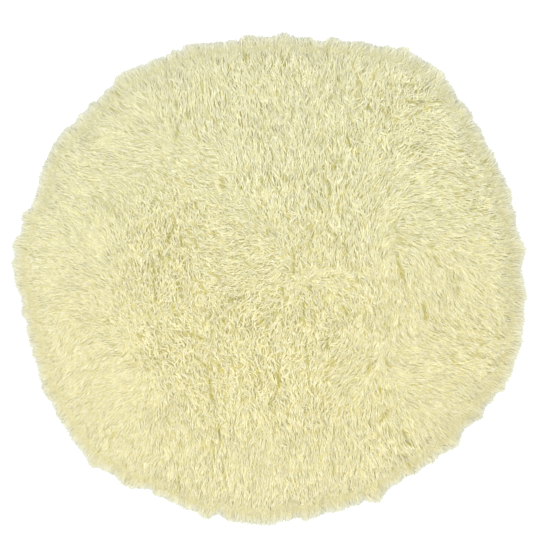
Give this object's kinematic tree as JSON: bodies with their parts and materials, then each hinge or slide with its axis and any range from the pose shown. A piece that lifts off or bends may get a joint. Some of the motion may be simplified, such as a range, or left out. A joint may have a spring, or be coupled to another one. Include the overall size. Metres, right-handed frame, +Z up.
{
  "type": "flokati rug",
  "caption": "Round wool rug with a long, soft, uneven pile in cream, lying flat on the floor.",
  "frame": {"origin": "on the floor, under the middle of the rug's bounding box", "axes": "+Z up out of the pile, +X to the right and +Y to the top of the picture, which looks straight down"},
  "size_m": [1.4932, 1.4328, 0.0537],
  "materials": {
    "wool_pile": "long, loosely twisted undyed wool pile, matt and slightly translucent at the tips"
  },
  "bodies": {
    "root": {"flokati_rug": "wool_pile"}
  },
  "joints": []
}
